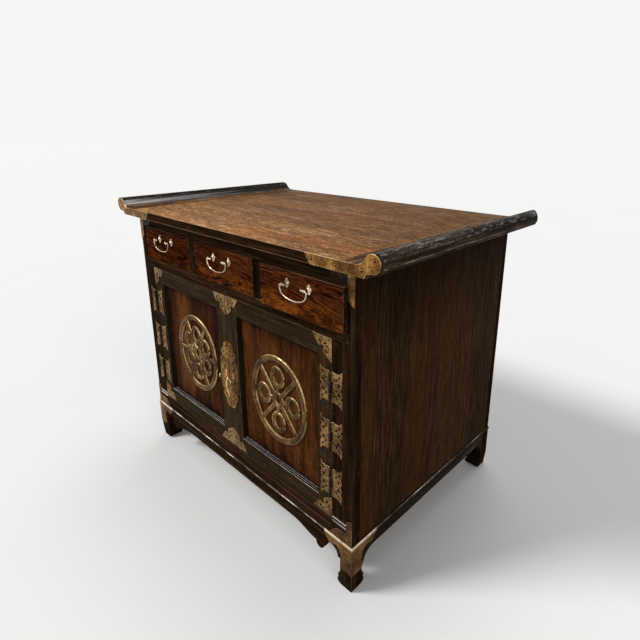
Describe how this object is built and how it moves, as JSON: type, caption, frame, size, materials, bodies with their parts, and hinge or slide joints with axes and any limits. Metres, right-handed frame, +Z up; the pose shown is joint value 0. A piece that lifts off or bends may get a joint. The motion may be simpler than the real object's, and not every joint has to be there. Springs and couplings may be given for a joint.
{
  "type": "sideboard",
  "caption": "Low cabinet with drawers over two panelled doors with carved roundels, a top with rolled ends, brass mounts and a base with hoof feet",
  "frame": {"origin": "on the floor at the centre of the overall box", "axes": "+X to the right seen from the front, the front faces -Y, +Z up"},
  "size_m": [1, 0.6324, 0.775],
  "materials": {
    "dark_wood": "worn black-brown lacquer over wood",
    "top_wood": "waxed brown wood, grain along the width",
    "side_wood": "dark brown wood, upright grain",
    "drawer_wood": "polished figured red-brown wood",
    "panel_wood": "red-brown wood, upright grain",
    "inner_wood": "unfinished secondary wood",
    "carved_gilt_wood": "carved wood with worn gilding",
    "old_brass": "aged, dull",
    "bright_brass": "polished",
    "catch_steel": "plain"
  },
  "bodies": {
    "cabinet": {"top_panel": "top_wood", "top_end_flanges": "dark_wood", "top_corner_brasses": "old_brass", "side_panel_left": "side_wood", "side_panel_right": "side_wood", "back_panel": "inner_wood", "front_posts": "dark_wood", "rear_posts": "dark_wood", "top_rail": "dark_wood", "middle_rail": "dark_wood", "bottom_rail": "dark_wood", "hinge_jambs": "dark_wood", "drawer_dividers": "dark_wood", "drawer_runners": "inner_wood", "dust_panel": "inner_wood", "cupboard_floor": "inner_wood", "shelf": "inner_wood", "shelf_cleats": "inner_wood", "door_catches": "catch_steel", "base_front_apron": "dark_wood", "base_rear_apron": "dark_wood", "base_side_aprons": "dark_wood", "base_legs": "dark_wood", "base_corner_brasses": "old_brass", "frame_corner_brasses": "old_brass", "hinge_post_leaves": "old_brass", "hinge_pins": "bright_brass"},
    "door_left": {"door_left_frame": "dark_wood", "door_left_panel": "panel_wood", "door_left_moulding": "dark_wood", "door_left_roundel": "carved_gilt_wood", "door_left_corner_plates": "old_brass", "door_left_hinge_leaves": "old_brass", "door_left_lock_plate": "old_brass", "door_left_eye": "bright_brass"},
    "door_right": {"door_right_frame": "dark_wood", "door_right_panel": "panel_wood", "door_right_moulding": "dark_wood", "door_right_roundel": "carved_gilt_wood", "door_right_corner_plates": "old_brass", "door_right_hinge_leaves": "old_brass", "door_right_lock_plate": "old_brass", "door_right_eye": "bright_brass"},
    "drop_ring": {"drop_ring": "bright_brass"},
    "drawer_left": {"drawer_left_front": "drawer_wood", "drawer_left_box": "inner_wood", "drawer_left_bottom": "inner_wood", "drawer_left_pull_posts": "bright_brass"},
    "bail_left": {"drawer_left_bail": "bright_brass"},
    "drawer_middle": {"drawer_middle_front": "drawer_wood", "drawer_middle_box": "inner_wood", "drawer_middle_bottom": "inner_wood", "drawer_middle_pull_posts": "bright_brass"},
    "bail_middle": {"drawer_middle_bail": "bright_brass"},
    "drawer_right": {"drawer_right_front": "drawer_wood", "drawer_right_box": "inner_wood", "drawer_right_bottom": "inner_wood", "drawer_right_pull_posts": "bright_brass"},
    "bail_right": {"drawer_right_bail": "bright_brass"}
  },
  "joints": [
    {"name": "door_left_hinge", "type": "hinge", "parent": "cabinet", "child": "door_left", "pos_m": [-0.3585, -0.28955, 0.369], "axis": [0, 0, -1], "range_deg": [0, 170]},
    {"name": "door_right_hinge", "type": "hinge", "parent": "cabinet", "child": "door_right", "pos_m": [0.3585, -0.28955, 0.369], "axis": [0, 0, 1], "range_deg": [0, 170]},
    {"name": "drop_ring_swing", "type": "hinge", "parent": "door_right", "child": "drop_ring", "pos_m": [0.016, -0.30095, 0.3701], "axis": [-1, 0, 0], "range_deg": [-14, 95]},
    {"name": "drawer_left_slide", "type": "slide", "parent": "cabinet", "child": "drawer_left", "axis": [0, -1, 0], "range_m": [0, 0.4]},
    {"name": "bail_left_swing", "type": "hinge", "parent": "drawer_left", "child": "bail_left", "pos_m": [-0.27967, -0.29675, 0.6725], "axis": [-1, 0, 0], "range_deg": [-20, 95]},
    {"name": "drawer_middle_slide", "type": "slide", "parent": "cabinet", "child": "drawer_middle", "axis": [0, -1, 0], "range_m": [-0.006, 0.394]},
    {"name": "bail_middle_swing", "type": "hinge", "parent": "drawer_middle", "child": "bail_middle", "pos_m": [0, -0.30275, 0.6725], "axis": [-1, 0, 0], "range_deg": [-20, 95]},
    {"name": "drawer_right_slide", "type": "slide", "parent": "cabinet", "child": "drawer_right", "axis": [0, -1, 0], "range_m": [-0.015, 0.385]},
    {"name": "bail_right_swing", "type": "hinge", "parent": "drawer_right", "child": "bail_right", "pos_m": [0.27967, -0.31175, 0.6725], "axis": [-1, 0, 0], "range_deg": [-20, 95]}
  ]
}
